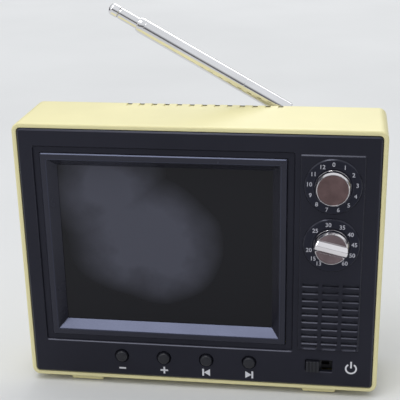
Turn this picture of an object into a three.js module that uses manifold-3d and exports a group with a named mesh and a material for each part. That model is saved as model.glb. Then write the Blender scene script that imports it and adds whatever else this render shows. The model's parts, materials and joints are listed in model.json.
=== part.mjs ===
// Portable television with a flat screen, two rotary tuners, push buttons and a telescopic antenna.
// Millimetres, +Z up. The screen faces -Y. The origin is on the surface that the set stands on,
// under the middle of its overall width and depth.
import * as THREE from "three";
import { mergeVertices } from "three/addons/utils/BufferGeometryUtils.js";
import Module from "manifold-3d";

const wasm = await Module();
wasm.setup();

// ---------- driving dimensions ----------
// Lengths below are in the case's own frame: y = 0 at its front rim, z = 0 at its underside.
const CASE = { width: 190, height: 145, depth: 48, wall: 2.5, corner: 4.5 };
const FRONT_FILLET = 1;
const BACK_FILLET = 3.5;
const SEAT_GAP = 0.1; // between pieces that rest on each other
const FIT_GAP = 0.3; // around a piece that sits inside another
const PIN_GAP = 0.2; // around pins, shafts and screws

const FASCIA = { front: -0.6, back: 2.2, edge: 0.8, corner: 1.7, skirtDepth: 6, skirtWall: 1.6 };

// The screen opening is a set of rectangles inside each other, from the outer groove to the aperture.
const SCREEN = { x: -17.6, z: 77.9, halfWidth: 56, halfHeight: 44.1 };
const FUNNEL = { inset: 4.15, depth: 4.9 }; // the bevel around the aperture
const LAND = 3.45; // the flat frame around the bevel
const GROOVE = { width: 3.2, depth: 1.2 }; // the channel around the flat frame

const PANEL = { left: 52.2, right: 84.7, bottom: 24, top: 132.6, lift: 0.7 }; // raised control panel
const DIAL = { x: 68.7, radius: 14.6, thickness: 0.8 };
const CHANNEL_Z = 116.4;
const TUNING_Z = 85;
const KNOB = { radius: 9, frontRadius: 8.2, front: -7, back: -2.5, discRadius: 7.6, recess: 7.8 };
const GRIP = { length: 17.6, width: 6.2, tipWidth: 2.6, front: -9.2, turn: 13 }; // finger bar, turned in degrees
const SHAFT = { radius: 2.9, bushing: 3.6 };

const SPEAKER = { x: 69, z: 45, radius: 18 };
const GRILLE = { columns: 3, rows: 9, slotWidth: 8.3, columnPitch: 10.4, rowPitch: 4.14, slotHeight: 1.9 };
const GRILLE_TOP = 62.6; // middle of the top row of slots
const CLOTH = { left: 53.8, right: 84.2, bottom: 27.8, top: 64.3, front: 0.3, back: 0.7 }; // behind the slots

const BUTTON = { firstX: -43.2, pitch: 23.27, z: 14.8, capRadius: 3.3, hole: 3.65, flange: 4.5, front: -2.6 };
const BUTTON_NAMES = ["minus", "plus", "previous", "next"];
const SLIDER = { left: 56.9, width: 7, slotWidth: 14.2, slotHeight: 6.8, z: 14.8, front: -2.4 };

const VENT = {
  count: 13, pitch: 6.8, middleX: -1.5, width: 2.8, start: 39.5, breakY: 44.2, scoop: 0.6, topEnd: 46.4,
  backTop: 6, backBottom: 13,
};
const FOOT = { x: 64.2, width: 18.2, depth: 12, height: 3, padDrop: 0.5 };
const FOOT_Y = [8.5, 39.5];
const SCREW = { x: 86, low: 9, high: 137, seat: 38 };

const ANTENNA = { x: 50, y: 53.8, z: 136.2, elevation: 29.6 }; // the tilt pin
const SECTIONS = [
  // radius, start and end along the antenna from the pin, for the three tubes and the rod
  { radius: 4.3, bore: 4.05, start: 8, end: 100.5 },
  { radius: 3.9, bore: 3.4, start: 14, end: 101.4 },
  { radius: 3.15, bore: 2.75, start: 24, end: 113 },
  { radius: 2.4, bore: 0, start: 34, end: 116 },
];
const TIP = { radius: 3.3, start: 113.2, end: 118.9 };

const BOARD = { left: -78, right: 22, bottom: 46, top: 122, front: 28.4, back: 30 };
const BATTERY = { left: -74, right: -6, bottom: 4, top: 41.5, front: 25.5, back: 44.5 };

const OVERALL_FRONT = GRIP.front;
const OVERALL_BACK = ANTENNA.y + SECTIONS[0].radius;

// ---------- materials ----------
const finish = (color, roughness, metalness = 0) =>
  new THREE.MeshStandardMaterial({ color, roughness, metalness });
const MATERIALS = {
  caseYellow: finish(0xe9dfa0, 0.42),
  fasciaBlack: finish(0x24252c, 0.5),
  buttonBlack: finish(0x1d1e24, 0.45),
  lens: finish(0x0b0c10, 0.06),
  lcd: finish(0x101116, 0.3),
  chrome: finish(0xd8d8dc, 0.12, 1),
  spunDisc: finish(0x8a7470, 0.35, 1),
  steel: finish(0xa9abae, 0.35, 1),
  board: finish(0x1f5a35, 0.6),
  chip: finish(0x17181a, 0.5),
  dial: finish(0x202128, 0.5),
  paper: finish(0x2a2a2c, 0.9),
  cloth: finish(0x26262f, 0.95),
  magnet: finish(0x55565a, 0.5, 0.6),
  rubber: finish(0x2b2a28, 0.9),
  battery: finish(0x3f6fa8, 0.4),
  ribbon: finish(0xc9b58a, 0.5),
};

// ---------- shape helpers ----------
function rectangle(halfWidth, halfHeight, radius = 0, x = 0, z = 0) {
  const s = new THREE.Shape();
  const [l, r, b, t] = [x - halfWidth, x + halfWidth, z - halfHeight, z + halfHeight];
  if (radius === 0) {
    return s.moveTo(l, b).lineTo(r, b).lineTo(r, t).lineTo(l, t).closePath();
  }
  s.moveTo(l + radius, b).lineTo(r - radius, b);
  s.absarc(r - radius, b + radius, radius, -Math.PI / 2, 0);
  s.lineTo(r, t - radius).absarc(r - radius, t - radius, radius, 0, Math.PI / 2);
  s.lineTo(l + radius, t).absarc(l + radius, t - radius, radius, Math.PI / 2, Math.PI);
  s.lineTo(l, b + radius).absarc(l + radius, b + radius, radius, Math.PI, 1.5 * Math.PI);
  return s;
}

function circle(radius, x = 0, z = 0) {
  const s = new THREE.Shape();
  s.absarc(x, z, radius, 0, 2 * Math.PI);
  return s;
}

// Extrudes an outline drawn in X and Z from y0 to y1, with rounded or chamfered rims where asked.
// inset is how far the rim narrows, and run is how far along Y it does so.
function slab(shape, y0, y1, { inset = 0, run = inset, segments = 4, curveSegments = 5 } = {}) {
  const g = new THREE.ExtrudeGeometry(shape, {
    depth: y1 - y0 - 2 * run,
    bevelEnabled: inset !== 0,
    bevelSize: inset,
    bevelThickness: run,
    bevelOffset: -inset,
    bevelSegments: segments,
    curveSegments,
  });
  return solid(g.rotateX(Math.PI / 2).translate(0, y1 - run, 0));
}

// A box between two corners.
function box(x0, x1, y0, y1, z0, z1) {
  const g = new THREE.BoxGeometry(x1 - x0, y1 - y0, z1 - z0);
  return solid(g.translate((x0 + x1) / 2, (y0 + y1) / 2, (z0 + z1) / 2));
}

// A cylinder along Y.
function rod(radius, y0, y1, x = 0, z = 0, segments = 20) {
  const g = new THREE.CylinderGeometry(radius, radius, y1 - y0, segments);
  return solid(g.translate(x, (y0 + y1) / 2, z));
}

// A turned piece around Y. The profile is a list of radius and y, and it starts and ends on the axis
// or closes on itself.
function turned(profile, segments = 32) {
  const points = profile.map(([radius, y]) => new THREE.Vector2(radius, y));
  return solid(new THREE.LatheGeometry(points, segments));
}

// A geometry as a manifold-3d solid.
function solid(geometry) {
  const g = geometry.clone();
  g.deleteAttribute("normal");
  g.deleteAttribute("uv");
  const merged = mergeVertices(g, 1e-4);
  const made = new wasm.Manifold(
    new wasm.Mesh({
      numProp: 3,
      vertProperties: new Float32Array(merged.attributes.position.array),
      triVerts: new Uint32Array(merged.index.array),
    }),
  );
  if (made.volume() > 0) return made;
  const flipped = new Uint32Array(merged.index.array);
  for (let i = 0; i < flipped.length; i += 3) {
    [flipped[i + 1], flipped[i + 2]] = [flipped[i + 2], flipped[i + 1]];
  }
  return new wasm.Manifold(
    new wasm.Mesh({
      numProp: 3,
      vertProperties: new Float32Array(merged.attributes.position.array),
      triVerts: flipped,
    }),
  );
}

const join = (first, ...rest) => rest.reduce((a, b) => a.add(b), first);
const cut = (first, ...rest) => rest.reduce((a, b) => a.subtract(b), first);
const moved = (s, x, y, z) => s.translate([x, y, z]);

const set = new THREE.Group();
set.position.set(0, -(OVERALL_FRONT + OVERALL_BACK) / 2, FOOT.height + FOOT.padDrop);

// Puts a solid in the scene as a named mesh.
function piece(name, made, material, parent = set) {
  const { vertProperties, triVerts, numProp } = made.getMesh();
  const g = new THREE.BufferGeometry();
  const positions = new Float32Array((vertProperties.length / numProp) * 3);
  for (let i = 0; i < positions.length / 3; i++) {
    positions.set(vertProperties.subarray(i * numProp, i * numProp + 3), i * 3);
  }
  g.setAttribute("position", new THREE.BufferAttribute(positions, 3));
  g.setIndex(new THREE.BufferAttribute(triVerts, 1));
  g.computeVertexNormals();
  const mesh = new THREE.Mesh(g, material);
  mesh.name = name;
  parent.add(mesh);
  return mesh;
}

// The nested rectangles around the screen, by how far each stands outside the aperture.
const screenRectangle = (outside, radius = 0) =>
  rectangle(SCREEN.halfWidth + outside, SCREEN.halfHeight + outside, radius, SCREEN.x, SCREEN.z);
const FRAME_OUTSIDE = FUNNEL.inset + LAND;
const GROOVE_OUTSIDE = FRAME_OUTSIDE + GROOVE.width;

const screwPlaces = [-1, 1].flatMap((side) =>
  [SCREW.low, SCREW.high].map((z) => [side * SCREW.x, z]),
);
const buttonX = (i) => BUTTON.firstX + i * BUTTON.pitch;

// ---------- casing ----------
function rearHousing() {
  const { width, height, depth, wall, corner } = CASE;
  const outline = (inset) =>
    rectangle(width / 2 - inset, height / 2 - inset, corner - inset, 0, height / 2);
  const beyond = 12;
  const roundBack = slab(outline(0), -beyond, depth, { inset: BACK_FILLET, segments: 4 });
  const roundFront = slab(outline(0), 0, depth + beyond, { inset: FRONT_FILLET, segments: 3 });
  let shell = roundBack.intersect(roundFront);
  shell = cut(shell, slab(outline(wall), -beyond, depth - wall));
  for (const x of [-FOOT.x, FOOT.x]) for (const y of FOOT_Y) shell = foot(shell, x, y);
  for (const [x, z] of screwPlaces) shell = screwTower(shell, x, z);
  for (const x of [BOARD.left + 4, BOARD.right - 4]) {
    for (const z of [BOARD.bottom + 4, BOARD.top - 4]) shell = boardBoss(shell, x, z);
  }
  shell = batteryRibs(shell);
  shell = cut(shell, ventSlots());
  shell = cut(shell, rod(1.8, depth - 5, depth + 1, ANTENNA.x, ANTENNA.z, 16));
  return cut(shell, socketRecess(), chargingHole(), jackHole());
}

// A moulded foot with rounded lower edges and a pocket for its pad.
function foot(shell, x, y) {
  const lowerCorner = 1.3;
  const outline = rectangle(FOOT.width / 2, FOOT.height / 2 + 1, lowerCorner, x, 1 - FOOT.height / 2);
  const block = slab(outline, y - FOOT.depth / 2, y + FOOT.depth / 2, { inset: 0.8, segments: 2 });
  const insideCase = box(x - 20, x + 20, y - 20, y + 20, CASE.wall, 20);
  const pocket = box(x - 7.3, x + 7.3, y - 4.3, y + 4.3, -FOOT.height - 1, -FOOT.height + 0.4);
  return cut(join(shell, cut(block, insideCase)), pocket);
}

// A tube for a long case screw, open to the back as a counterbore.
function screwTower(shell, x, z) {
  const tower = rod(4.2, 30.3, CASE.depth - 1, x, z, 24);
  return cut(
    join(shell, tower),
    rod(3.1, SCREW.seat, CASE.depth + 1, x, z, 24),
    rod(1.7, 25, SCREW.seat + 1, x, z, 16),
  );
}

// A pillar with a thin peg that the main board is staked on.
function boardBoss(shell, x, z) {
  const pillar = rod(2.6, BOARD.back + SEAT_GAP, CASE.depth - 1, x, z, 12);
  return join(shell, pillar, rod(1.1, BOARD.front - 1, BOARD.back + 1, x, z, 12));
}

function batteryRibs(shell) {
  const ribTop = 22;
  const rib = (x) => box(x - 0.8, x + 0.8, BATTERY.front - 2, CASE.depth - 1, 1, ribTop);
  const lip = box(BATTERY.left, BATTERY.right, BATTERY.front - 2, BATTERY.front - 0.4, 1, 9);
  return join(shell, rib(BATTERY.left - 1.2), rib(BATTERY.right + 1.2), lip);
}

// Each vent is a scooped slot in the top, near the back edge, and a second slot below it in the back.
function ventSlots() {
  const { depth, height, wall } = CASE;
  const topSlot = [[VENT.start, 1], [VENT.start, -0.02], [VENT.breakY, -VENT.scoop], [VENT.breakY, -wall - 1.2],
    [VENT.topEnd, -wall - 1.2], [VENT.topEnd, 1]];
  const backSlot = [[depth - wall - 1.2, -VENT.backTop], [depth + 1, -VENT.backTop],
    [depth + 1, -VENT.backBottom], [depth - wall - 1.2, -VENT.backBottom]];
  const cutter = (profile, x) => {
    const outline = new THREE.Shape(profile.map(([y, drop]) => new THREE.Vector2(y, height + drop)));
    const g = new THREE.ExtrudeGeometry(outline, { depth: VENT.width, bevelEnabled: false });
    const alongX = new THREE.Matrix4().set(0, 0, 1, x - VENT.width / 2, 1, 0, 0, 0, 0, 1, 0, 0, 0, 0, 0, 1);
    return solid(g.applyMatrix4(alongX));
  };
  const middle = (VENT.count - 1) / 2;
  const slots = Array.from({ length: VENT.count }, (_, i) => VENT.middleX + (i - middle) * VENT.pitch)
    .flatMap((x) => [cutter(topSlot, x), cutter(backSlot, x)]);
  return join(...slots);
}

const SOCKET = { x: 58, z: 20, width: 9.6, height: 3.8 };
const JACK = { x: 74, z: 20, hole: 3.2 };
const socketRecess = () =>
  slab(rectangle(18, 8, 2, (SOCKET.x + JACK.x) / 2, SOCKET.z), CASE.depth - 1, CASE.depth + 2);
const chargingHole = () =>
  slab(rectangle(SOCKET.width / 2, SOCKET.height / 2, 1.7, SOCKET.x, SOCKET.z), 44, CASE.depth + 1);
const jackHole = () => rod(JACK.hole, 44, CASE.depth + 1, JACK.x, JACK.z, 20);

function frontFascia() {
  const { width, height, wall } = CASE;
  const { front, back, edge, corner } = FASCIA;
  const side = wall + FIT_GAP;
  const outline = (inset, radius) =>
    rectangle(width / 2 - side - inset, height / 2 - side - inset, radius, 0, height / 2);
  const behind = 6;
  const face = slab(outline(0, corner), front, back + behind, { inset: edge, segments: 3 });
  let plate = face.intersect(box(-width, width, front - 1, back, -10, height + 10));
  const skirt = cut(
    slab(outline(0, corner), back - 0.5, back + FASCIA.skirtDepth),
    slab(outline(FASCIA.skirtWall, 0), back - 1, back + 10),
  );
  plate = join(plate, skirt, controlPanel());
  plate = cut(plate, speakerCloth(FIT_GAP, 5));
  plate = cut(
    plate,
    slab(screenRectangle(GROOVE_OUTSIDE, 0.6), front - 5, front + GROOVE.depth),
    slab(screenRectangle(FRAME_OUTSIDE + PIN_GAP), front - 5, back + 5),
    grille(),
  );
  for (const z of [CHANNEL_Z, TUNING_Z]) plate = cut(plate, rod(3.9, -5, 5, DIAL.x, z, 24));
  for (let i = 0; i < BUTTON_NAMES.length; i++) {
    plate = cut(plate, rod(BUTTON.hole, -5, 5, buttonX(i), BUTTON.z, 24));
  }
  const slotMiddle = SLIDER.left + SLIDER.slotWidth / 2;
  const slot = rectangle(SLIDER.slotWidth / 2, SLIDER.slotHeight / 2, 0.4, slotMiddle, SLIDER.z);
  return fasciaPosts(cut(plate, slab(slot, -5, 5)));
}

// The raised rectangle that carries the dials and the grille.
function controlPanel() {
  const { left, right, bottom, top, lift } = PANEL;
  const outline = rectangle((right - left) / 2, (top - bottom) / 2, 0.8, (left + right) / 2, (bottom + top) / 2);
  const tall = slab(outline, FASCIA.front - lift, FASCIA.back + 3, { inset: 0.6, run: lift, segments: 1 });
  return tall.intersect(box(0, 200, -5, FASCIA.back - 0.2, 0, 200));
}

// Three shallow pockets with rounded lower corners, each with a ladder of slots through the fascia.
function grille() {
  const { columns, rows, slotWidth, columnPitch, rowPitch, slotHeight } = GRILLE;
  const bottomOf = GRILLE_TOP - (rows - 1) * rowPitch;
  const cutters = [];
  for (let c = 0; c < columns; c++) {
    const x = SPEAKER.x + (c - (columns - 1) / 2) * columnPitch;
    const scoop = rectangle(slotWidth / 2, 1.1, 1.05, x, bottomOf - rowPitch + 0.4);
    cutters.push(slab(scoop, -5, FASCIA.front + 0.7, { curveSegments: 4 }));
    for (let r = 0; r < rows; r++) {
      const z = GRILLE_TOP - r * rowPitch;
      cutters.push(box(x - slotWidth / 2, x + slotWidth / 2, -5, 5, z - slotHeight / 2, z + slotHeight / 2));
    }
  }
  return join(...cutters);
}

const LCD_POSTS = [-85.4, 50].flatMap((x) => [SCREEN.z - 42, SCREEN.z + 42].map((z) => [x, z]));
const BUTTON_POSTS = [-56, 40];
const SWITCH_POSTS = [49.8, 78];

// Posts, pegs and rings on the back of the fascia.
function fasciaPosts(plate) {
  let made = plate;
  const root = FASCIA.back - 0.5;
  for (const [x, z] of screwPlaces) {
    made = cut(join(made, rod(3.2, root, 30, x, z, 24)), rod(1.6, 12, 31, x, z, 16));
  }
  for (const [x, z] of LCD_POSTS) {
    made = join(made, rod(1.9, root, LCD.trayBack, x, z, 12), rod(1, root, LCD.trayBack + 2.2, x, z, 12));
  }
  for (const x of BUTTON_POSTS) {
    made = join(made, rod(2.2, root, TACT.boardFront - SEAT_GAP, x, BUTTON.z, 12));
    made = join(made, rod(1, root, TACT.boardFront + 2, x, BUTTON.z, 12));
  }
  for (const x of SWITCH_POSTS) {
    made = join(made, rod(2, root, 7.9, x, SLIDER.z, 12), rod(1, root, 10, x, SLIDER.z, 12));
  }
  const ring = cut(
    rod(SPEAKER.radius + 1.9, root, 8, SPEAKER.x, SPEAKER.z, 40),
    rod(SPEAKER.radius + FIT_GAP, 0, 9, SPEAKER.x, SPEAKER.z, 40),
  );
  return join(made, ring);
}

function caseScrew() {
  const seat = SCREW.seat - SEAT_GAP;
  const profile = [
    [0, 14], [1.3, 15.2], [1.3, seat], [1.3, seat + SEAT_GAP * 2], [2.7, seat + SEAT_GAP * 2],
    [2.7, seat + 1.6], [1.9, seat + 2.2], [0, seat + 2.2],
  ];
  const drive = join(box(-1.5, 1.5, seat + 1.3, seat + 4, -0.35, 0.35), box(-0.35, 0.35, seat + 1.3, seat + 4, -1.5, 1.5));
  return cut(turned(profile, 20), drive);
}

function footPad() {
  const outline = rectangle(7, 4, 1.2);
  const g = new THREE.ExtrudeGeometry(outline, { depth: 0.8, bevelEnabled: false, curveSegments: 4 });
  return solid(g.translate(0, 0, -FOOT.height - FOOT.padDrop));
}

// ---------- screen ----------
const LCD = { lensFront: 4.8, lensBack: 6, cellFront: 6.2, cellBack: 7.8, trayBack: 11.6 };

function screenSurround() {
  const { front, back } = FASCIA;
  const rear = front + FUNNEL.depth + 0.2;
  const frame = slab(screenRectangle(FRAME_OUTSIDE), front, rear);
  const flange = slab(screenRectangle(FRAME_OUTSIDE + 1.5), back + SEAT_GAP, rear);
  const bevel = slab(screenRectangle(FUNNEL.inset), front - 20, front + FUNNEL.depth, {
    inset: FUNNEL.inset,
    run: FUNNEL.depth,
    segments: 1,
  });
  return cut(join(frame, flange), bevel, slab(screenRectangle(0), front - 1, rear + 1));
}

const screenLens = () => slab(screenRectangle(5, 1), LCD.lensFront, LCD.lensBack, { curveSegments: 3 });
const lcdCell = () => slab(screenRectangle(4), LCD.cellFront, LCD.cellBack);
const lcdTray = () =>
  cut(
    slab(screenRectangle(6.5, 1), LCD.cellFront, LCD.trayBack, { curveSegments: 3 }),
    slab(screenRectangle(4 + FIT_GAP), LCD.cellFront - 1, LCD.cellBack + FIT_GAP),
  );

// A steel strip behind one side of the LCD tray, staked on two fascia posts.
function lcdBracket(postX) {
  const inward = postX < SCREEN.x ? 1 : -1;
  const [a, b] = [postX - 2.4 * inward, postX + 8 * inward].sort((p, q) => p - q);
  const front = LCD.trayBack + SEAT_GAP;
  const reach = 47;
  let strip = box(a, b, front, front + 1.2, SCREEN.z - reach, SCREEN.z + reach);
  for (const [x, z] of LCD_POSTS) if (x === postX) strip = cut(strip, rod(1.25, 5, 20, x, z, 12));
  return strip;
}

// A flat cable in a planar curve of y and z points.
function lcdRibbon() {
  const thickness = 0.4;
  const width = 24;
  const line = new THREE.SplineCurve(
    [[12, 70], [13, 76], [18, 79], [24, 76], [27.4, 70], [27.8, 66]].map(([y, z]) => new THREE.Vector2(y, z)),
  );
  const steps = 18;
  const side = (sign) =>
    Array.from({ length: steps + 1 }, (_, i) => {
      const p = line.getPoint(i / steps);
      const t = line.getTangent(i / steps);
      return new THREE.Vector2(p.x - (sign * t.y * thickness) / 2, p.y + (sign * t.x * thickness) / 2);
    });
  const outline = new THREE.Shape([...side(1), ...side(-1).reverse()]);
  const g = new THREE.ExtrudeGeometry(outline, { depth: width, bevelEnabled: false });
  const left = SCREEN.x - width / 2;
  return solid(g.applyMatrix4(new THREE.Matrix4().set(0, 0, 1, left, 1, 0, 0, 0, 0, 1, 0, 0, 0, 0, 0, 1)));
}

// ---------- speaker ----------
// The cloth behind the slots, or with a gap and a depth the pocket that it is glued into.
function speakerCloth(gap = 0, deeper = 0) {
  const { left, right, bottom, top, front, back } = CLOTH;
  const frontGap = gap === 0 ? 0 : SEAT_GAP;
  return box(left - gap, right + gap, front - frontGap, back + deeper, bottom - gap, top + gap);
}

function speakerBasket() {
  const r = SPEAKER.radius;
  return moved(
    turned([[r - 2.2, 2.6], [r, 2.6], [r, 4], [r - 2, 4.4], [10.6, 12], [10.6, 13.6], [6, 13.6], [6, 12.4],
      [9.6, 12.2], [r - 3, 4.6], [r - 3, 3.6], [r - 2.2, 2.6]], 32),
    SPEAKER.x, 0, SPEAKER.z,
  );
}

function speakerCone() {
  return moved(
    turned([[0, 7.4], [2.6, 8], [4.4, 9.4], [9, 7.2], [12.6, 4.6], [13.6, 4], [14.4, 4.6], [13.6, 5], [9.2, 8.2],
      [5.2, 10.8], [4.4, 12], [0, 12]], 24),
    SPEAKER.x, 0, SPEAKER.z,
  );
}

const speakerMagnet = () =>
  moved(turned([[0, 13.8], [9.4, 13.8], [10, 14.4], [10, 19.8], [9.4, 20.4], [0, 20.4]], 24), SPEAKER.x, 0, SPEAKER.z);

// ---------- boards and power ----------
function mainBoard() {
  let made = box(BOARD.left, BOARD.right, BOARD.front, BOARD.back, BOARD.bottom, BOARD.top);
  for (const x of [BOARD.left + 4, BOARD.right - 4]) {
    for (const z of [BOARD.bottom + 4, BOARD.top - 4]) made = cut(made, rod(1.35, 20, 40, x, z, 12));
  }
  return made;
}

const onBoard = (x, z, width, height, thickness) => {
  const back = BOARD.front - SEAT_GAP;
  return box(x - width / 2, x + width / 2, back - thickness, back, z - height / 2, z + height / 2);
};

// A shrink-wrapped pack of cells.
function batteryPack() {
  const { left, right, bottom, top, front, back } = BATTERY;
  const outline = rectangle((right - left) / 2, (top - bottom) / 2, 5, (left + right) / 2, (bottom + top) / 2);
  return slab(outline, front, back, { inset: 3, segments: 2, curveSegments: 3 });
}

function chargingSocket() {
  const outer = slab(rectangle(4.5, 1.6, 1.3, SOCKET.x, SOCKET.z), 38, CASE.depth - 1.2, { curveSegments: 4 });
  const mouth = slab(rectangle(4.1, 1.2, 1, SOCKET.x, SOCKET.z), 40.5, CASE.depth, { curveSegments: 4 });
  const tongue = box(SOCKET.x - 3.2, SOCKET.x + 3.2, 40, CASE.depth - 2.2, SOCKET.z - 0.35, SOCKET.z + 0.35);
  const ears = box(SOCKET.x - 6.6, SOCKET.x + 6.6, 44, 45.4, SOCKET.z - 3.4, SOCKET.z + 3.4);
  return join(cut(join(outer, ears), mouth), tongue);
}

function avJack() {
  const body = box(JACK.x - 4, JACK.x + 4, 33, 45.4, JACK.z - 4, JACK.z + 4);
  const nose = rod(2.9, 45, CASE.depth - 0.6, JACK.x, JACK.z, 20);
  return cut(join(body, nose), rod(1.8, 35, CASE.depth, JACK.x, JACK.z, 16));
}

// ---------- buttons ----------
const TACT = { front: 5.4, back: 8.9, boardFront: 9.1, boardBack: 10.3, half: 3.1 };

// A round cap with a retaining flange behind the fascia and a stem that presses the switch.
const buttonCap = () => {
  const r = BUTTON.capRadius;
  const f = BUTTON.front;
  return turned([[0, f], [r - 1.1, f + 0.15], [r - 0.35, f + 0.5], [r, f + 1.1], [r, 2.5], [BUTTON.flange, 2.5],
    [BUTTON.flange, 3.4], [1.7, 3.4], [1.7, 4.2], [0, 4.2]], 24);
};

const tactSwitch = () => {
  const body = box(-TACT.half, TACT.half, 6.2, TACT.back, -TACT.half, TACT.half);
  return join(body, rod(1.6, TACT.front, 6.5, 0, 0, 12));
};

function buttonBoard() {
  const [a, b] = [BUTTON_POSTS[0] - 3, BUTTON_POSTS[1] + 3];
  let made = box(a, b, TACT.boardFront, TACT.boardBack, BUTTON.z - 5.5, BUTTON.z + 5.5);
  for (const x of BUTTON_POSTS) made = cut(made, rod(1.25, 5, 15, x, BUTTON.z, 12));
  return made;
}

// ---------- power switch ----------
function powerSlider() {
  const x0 = SLIDER.left + FIT_GAP;
  const half = SLIDER.slotHeight / 2 - FIT_GAP;
  const middle = x0 + SLIDER.width / 2;
  let made = slab(rectangle(SLIDER.width / 2, half, 0.4, middle, SLIDER.z), SLIDER.front, 2.6, { curveSegments: 3 });
  for (const step of [-1.8, 0, 1.8]) {
    made = cut(made, box(middle + step - 0.4, middle + step + 0.4, SLIDER.front - 1, SLIDER.front + 0.5, 0, 30));
  }
  const flange = box(middle - 4.6, middle + 4.6, 2.5, 3.4, SLIDER.z - 4.8, SLIDER.z + 4.8);
  return join(made, flange, box(middle - 1, middle + 1, 3, 6.6, SLIDER.z - 1.2, SLIDER.z + 1.2));
}

function slideSwitch() {
  const middle = SLIDER.left + SLIDER.slotWidth / 2;
  const can = box(middle - 9, middle + 9, 4.4, 11, SLIDER.z - 3.6, SLIDER.z + 3.6);
  const ears = box(SWITCH_POSTS[0] - 2.6, SWITCH_POSTS[1] + 2.6, 8, 9, SLIDER.z - 3, SLIDER.z + 3);
  let made = cut(join(can, ears), box(middle - 5.6, middle + 5.6, 4, 7.2, SLIDER.z - 1.6, SLIDER.z + 1.6));
  for (const x of SWITCH_POSTS) made = cut(made, rod(1.25, 5, 15, x, SLIDER.z, 12));
  return made;
}

// ---------- knobs ----------
const dialPlate = () => {
  const front = FASCIA.front - PANEL.lift - SEAT_GAP - DIAL.thickness;
  const r = DIAL.radius;
  return turned([[3.9, front], [r - 0.6, front], [r - 0.15, front + 0.2], [r, front + DIAL.thickness],
    [3.9, front + DIAL.thickness], [3.9, front]], 40);
};

// The hollow metal skirt shared by both knobs, with a recess in its face for a thin disc.
function knobBody() {
  const { radius, frontRadius, front, back } = KNOB;
  const recess = front + 0.5;
  return turned([[0, recess], [KNOB.recess, recess], [KNOB.recess, front + 0.1], [KNOB.recess + 0.1, front],
    [frontRadius, front], [radius - 0.1, front + 1.2], [radius, front + 1.5], [radius, back - 0.3], [radius - 0.2, back], [6.8, back], [6.8, -3.9],
    [SHAFT.radius + PIN_GAP, -3.9], [SHAFT.radius + PIN_GAP, -5.5], [0, -5.5]], 40);
}

const knobDisc = () => turned([[0, KNOB.front + 0.2], [KNOB.discRadius, KNOB.front + 0.2],
  [KNOB.discRadius, KNOB.front + 0.4], [0, KNOB.front + 0.4]], 40);

// The finger bar across the tuning knob, narrower at its front.
function gripBar() {
  const half = GRIP.length / 2;
  const w = GRIP.width / 2;
  const back = KNOB.front + 0.6;
  const end = new THREE.Shape();
  const tip = GRIP.tipWidth / 2;
  end.moveTo(-w, back).lineTo(w, back).lineTo(tip, GRIP.front + 0.2).lineTo(tip - 0.3, GRIP.front);
  end.lineTo(0.3 - tip, GRIP.front).lineTo(-tip, GRIP.front + 0.2).closePath();
  const g = new THREE.ExtrudeGeometry(end, { depth: GRIP.length, bevelEnabled: false });
  g.applyMatrix4(new THREE.Matrix4().set(0, 0, 1, -half, 0, 1, 0, 0, 1, 0, 0, 0, 0, 0, 0, 1));
  return solid(g).intersect(rod(half, GRIP.front - 1, back + 1, 0, 0, 40));
}

const tuningKnob = () => join(knobBody(), gripBar());

function halfDisc(sign) {
  const clear = GRIP.width / 2 + FIT_GAP;
  const half = sign > 0 ? box(-20, 20, -20, 0, clear, 20) : box(-20, 20, -20, 0, -20, -clear);
  return knobDisc().intersect(half);
}

const knobShaft = (back) => turned([[0, -5.3], [SHAFT.radius - 0.4, -5.3], [SHAFT.radius, -4.9], [SHAFT.radius, back], [0, back]], 20);

const bushingNut = () => {
  const hex = new THREE.CylinderGeometry(5, 5, 1.4, 6).translate(0, -3.05, 0);
  return cut(solid(hex), rod(SHAFT.bushing + 0.1, -5, 0, 0, 0, 24));
};

const BUSHING_FRONT = -3.6;
function rotaryBody(back, round) {
  const can = round ? rod(8.4, 3, back, 0, 0, 28) : box(-10, 10, 3, back, -10, 10);
  const bushing = rod(SHAFT.bushing, BUSHING_FRONT, 3.5, 0, 0, 24);
  return cut(join(can, bushing), rod(SHAFT.radius + PIN_GAP, -6, back - 1.5, 0, 0, 20));
}

// ---------- antenna ----------
// Built along +X from the tilt pin, in a group turned to the antenna's rest direction.
const FORK = { inner: 1.6, outer: 3.1, radius: 2.8, discRadius: 5.4 };

// Cylinder along X, for the antenna's pieces.
const alongX = (profile, segments = 20) => {
  const points = profile.map(([radius, x]) => new THREE.Vector2(radius, x));
  return solid(new THREE.LatheGeometry(points, segments).rotateZ(-Math.PI / 2));
};
const pinRod = (radius, z0, z1, segments = 14) => {
  const g = new THREE.CylinderGeometry(radius, radius, z1 - z0, segments).rotateX(Math.PI / 2);
  return solid(g.translate(0, 0, (z0 + z1) / 2));
};

function antennaSwivel() {
  const discFront = CASE.depth + 0.4 - ANTENNA.y;
  const discBack = discFront + 2;
  const disc = rod(FORK.discRadius, discFront, discBack, 0, 0, 32);
  const lug = (z0, z1) => join(
    box(-FORK.radius, FORK.radius, discBack - 0.5, 0, z0, z1),
    pinRod(FORK.radius, z0, z1, 24),
  );
  const fork = join(lug(FORK.inner, FORK.outer), lug(-FORK.outer, -FORK.inner));
  return cut(join(disc, fork), pinRod(1.15, -5, 5), rod(1.6, discFront - 1, discBack - 0.4, 0, 0, 16));
}

const swivelScrew = () => {
  const wallIn = CASE.depth - CASE.wall - ANTENNA.y;
  return turned([[0, wallIn - 2.4], [2.6, wallIn - 2.4], [3, wallIn - 1.9], [3, wallIn - 0.6], [1.4, wallIn - 0.6],
    [1.4, wallIn + 4.2], [0, wallIn + 4.2]], 16);
};

const pivotPin = () => {
  const head = FORK.outer + 0.1;
  return join(pinRod(0.95, -head - 0.3, head + 0.3), pinRod(1.7, head, head + 0.5), pinRod(1.7, -head - 0.5, -head));
};

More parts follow.
